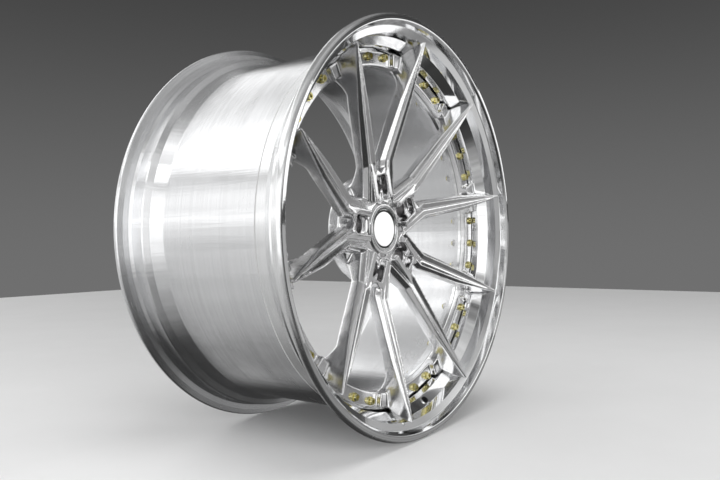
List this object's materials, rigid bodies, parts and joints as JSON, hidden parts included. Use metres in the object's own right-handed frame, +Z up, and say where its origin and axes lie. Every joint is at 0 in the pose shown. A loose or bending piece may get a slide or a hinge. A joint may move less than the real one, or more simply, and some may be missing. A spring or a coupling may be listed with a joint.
{
  "type": "forged racing wheel rim",
  "caption": "Three-piece forged racing wheel rim with paired pointed spokes, a stepped polished lip, a deep barrel, ring bolts, a hub cap and a tyre valve.",
  "frame": {"origin": "wheel centre: on the spin axis, midway between the planes of the two rim flanges", "axes": "Y is the spin axis, with the wheel's outer face towards -Y and its mounting side towards +Y; +Z is up"},
  "size_m": [0.543, 0.2754, 0.543],
  "materials": {
    "polished_aluminium": "mirror-polished forged aluminium",
    "turned_aluminium": "satin lathe-turned aluminium with fine rings",
    "machined_aluminium": "bright brushed and polished aluminium",
    "sealant": "grey cured sealant",
    "hardened_steel": "bright steel bush",
    "gold_zinc_steel": "yellow zinc plated steel",
    "bright_steel": "bright zinc plated steel",
    "black_plastic": "matt black moulded plastic",
    "white_plastic": "gloss white face",
    "spring_steel": "drawn spring wire",
    "black_rubber": "matt black rubber",
    "black_anodised": "satin black anodised aluminium",
    "brass": "turned brass"
  },
  "bodies": {
    "rim": {"outer_lip": "polished_aluminium", "inner_barrel": "turned_aluminium", "rim_seal": "sealant", "wheel_center": "machined_aluminium", "lug_seat_inserts": "hardened_steel", "assembly_bolts": "gold_zinc_steel", "assembly_washers": "bright_steel", "assembly_nuts": "bright_steel", "valve_stem": "black_anodised", "valve_base_seal": "black_rubber", "valve_washer": "polished_aluminium", "valve_nut": "polished_aluminium", "valve_core_body": "brass", "valve_core_seal": "black_rubber", "valve_core_spring": "spring_steel"},
    "center_cap": {"cap_body": "black_plastic", "cap_trim_ring": "polished_aluminium", "cap_face_disc": "white_plastic", "cap_snap_ring": "spring_steel", "cap_o_ring": "black_rubber"},
    "valve_pin": {"valve_core_pin": "brass"},
    "valve_cap_body": {"valve_cap": "black_anodised", "valve_cap_gasket": "black_rubber"}
  },
  "joints": [
    {"name": "cap_pull", "type": "slide", "parent": "rim", "child": "center_cap", "axis": [0, -1, 0], "range_m": [0, 0.035]},
    {"name": "valve_pin_press", "type": "slide", "parent": "rim", "child": "valve_pin", "axis": [0.1748, 0.6293, -0.7572], "range_m": [0, 0.0012], "stiffness_N_per_m": 400, "springref_m": -0.0005},
    {"name": "valve_cap_lift", "type": "slide", "parent": "rim", "child": "valve_cap_body", "axis": [-0.1748, -0.6293, 0.7572], "range_m": [0, 0.02]}
  ]
}
